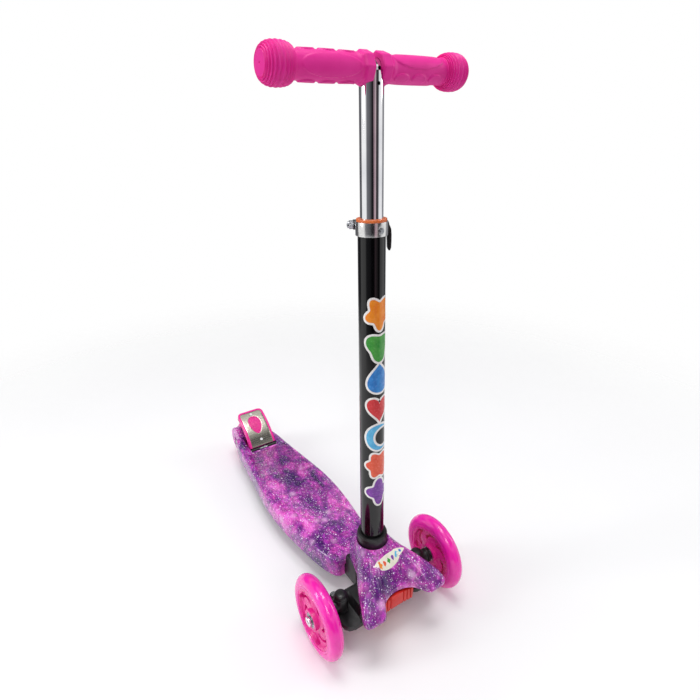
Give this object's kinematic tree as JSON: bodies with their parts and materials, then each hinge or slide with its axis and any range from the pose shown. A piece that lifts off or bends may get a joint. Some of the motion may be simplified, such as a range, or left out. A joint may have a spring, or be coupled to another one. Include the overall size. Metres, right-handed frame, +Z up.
{
  "type": "kick scooter",
  "caption": "Child's three-wheeled kick scooter that steers by leaning, with a height-adjustable handlebar, printed deck, rear foot brake and quick-release clamp.",
  "frame": {"origin": "on the ground, under the middle of the scooter's bounding box", "axes": "+X riding direction, +Y rider's left, +Z up"},
  "size_m": [0.623, 0.269, 0.8052],
  "materials": {
    "printed_plastic": "glossy printed shell",
    "black_plastic": "satin moulded nylon",
    "black_paint": "gloss black powder coat",
    "chrome": "polished chrome",
    "zinc_steel": "zinc plated",
    "ring_metal": "polished aluminium",
    "brake_steel": "polished stainless sheet",
    "orange_plastic": "orange acetal",
    "grey_plastic": "dark acetal",
    "grip_rubber": "matte pink rubber",
    "wheel_tyre": "glossy pink polyurethane",
    "pink_plastic": "glossy pink plastic",
    "red_plastic": "satin red plastic"
  },
  "bodies": {
    "deck": {"deck_shell": "printed_plastic", "front_base": "black_plastic", "base_bolts": "zinc_steel", "front_cover": "printed_plastic", "cover_screws": "zinc_steel", "stem_collar": "black_plastic", "lower_tube": "black_paint", "stem_bolt": "zinc_steel", "clamp_ring": "ring_metal", "clamp_bush": "orange_plastic", "clamp_block": "black_plastic", "skewer": "zinc_steel", "skewer_nut": "zinc_steel", "cam_pin": "zinc_steel", "button_spring": "zinc_steel", "lean_pin": "zinc_steel", "return_springs": "zinc_steel", "rear_axle": "zinc_steel", "rear_washers": "zinc_steel", "brake_pin": "zinc_steel", "brake_spring": "zinc_steel"},
    "quick_lever": {"quick_lever": "black_plastic"},
    "snap_button": {"snap_button": "zinc_steel"},
    "handlebar": {"upper_tube": "chrome", "slide_bush": "grey_plastic", "crossbar": "chrome", "grip_left": "grip_rubber", "grip_right": "grip_rubber"},
    "truck": {"truck_beam": "black_plastic", "spring_housing": "red_plastic", "housing_screws": "zinc_steel", "kingpins": "zinc_steel", "kingpin_nuts": "black_plastic"},
    "knuckle_left": {"knuckle_left": "black_plastic", "axle_bolt_left": "chrome", "axle_washer_left": "zinc_steel", "tie_pin_left": "zinc_steel"},
    "knuckle_right": {"knuckle_right": "black_plastic", "axle_bolt_right": "chrome", "axle_washer_right": "zinc_steel", "tie_pin_right": "zinc_steel"},
    "tie_rod": {"tie_rod": "black_plastic"},
    "wheel_left": {"tyre_left": "wheel_tyre", "wheel_core_left": "pink_plastic", "bearings_left": "zinc_steel", "spacer_left": "zinc_steel"},
    "wheel_right": {"tyre_right": "wheel_tyre", "wheel_core_right": "pink_plastic", "bearings_right": "zinc_steel", "spacer_right": "zinc_steel"},
    "wheel_rear": {"rear_tyre": "wheel_tyre", "rear_core": "pink_plastic", "rear_bearings": "zinc_steel", "rear_spacer": "zinc_steel"},
    "brake": {"brake_pedal": "pink_plastic", "brake_plate": "brake_steel", "brake_rivets": "chrome"}
  },
  "joints": [
    {"name": "lean", "type": "hinge", "parent": "deck", "child": "truck", "pos_m": [0.2415, 0, 0.074], "axis": [1, 0, 0], "range_deg": [-10, 10], "stiffness_Nm_per_rad": 80, "deforming": ["return_springs"]},
    {"name": "steer_left", "type": "hinge", "parent": "truck", "child": "knuckle_left", "pos_m": [0.2415, 0.072, 0.06], "axis": [0, 0, 1], "range_deg": [-13, 13]},
    {"name": "steer_right", "type": "hinge", "parent": "truck", "child": "knuckle_right", "pos_m": [0.2415, -0.072, 0.06], "axis": [0, 0, 1], "range_deg": [-13, 13]},
    {"name": "tie_rod_swing", "type": "hinge", "parent": "knuckle_left", "child": "tie_rod", "pos_m": [0.2215, 0.072, 0.048], "axis": [0, 0, 1], "range_deg": [-13, 13]},
    {"name": "spin_left", "type": "hinge", "parent": "knuckle_left", "child": "wheel_left", "pos_m": [0.2415, 0.1105, 0.06], "axis": [0, 1, 0], "continuous": true},
    {"name": "spin_right", "type": "hinge", "parent": "knuckle_right", "child": "wheel_right", "pos_m": [0.2415, -0.1105, 0.06], "axis": [0, 1, 0], "continuous": true},
    {"name": "spin_rear", "type": "hinge", "parent": "deck", "child": "wheel_rear", "pos_m": [-0.2715, 0, 0.04], "axis": [0, 1, 0], "continuous": true},
    {"name": "height_slide", "type": "slide", "parent": "deck", "child": "handlebar", "axis": [0, 0, 1], "range_m": [-0.14, 0.06]},
    {"name": "lever_swing", "type": "hinge", "parent": "deck", "child": "quick_lever", "pos_m": [0.2052, 0.02713, 0.606], "axis": [0.887, -0.4617, 0], "range_deg": [0, 150]},
    {"name": "button_press", "type": "slide", "parent": "deck", "child": "snap_button", "axis": [-1, 0, 0], "range_m": [0, 0.002], "stiffness_N_per_m": 400, "springref_m": -0.001, "deforming": ["button_spring"]},
    {"name": "brake_press", "type": "hinge", "parent": "deck", "child": "brake", "pos_m": [-0.1955, 0, 0.055], "axis": [0, -1, 0], "range_deg": [0, 10], "stiffness_Nm_per_rad": 2, "springref_deg": -14.32, "deforming": ["brake_spring"]}
  ],
  "couplings": [
    {"joint": "steer_left", "follows": "lean", "ratio": 1.3},
    {"joint": "steer_right", "follows": "lean", "ratio": 1.3},
    {"joint": "tie_rod_swing", "follows": "lean", "ratio": -1.3}
  ]
}
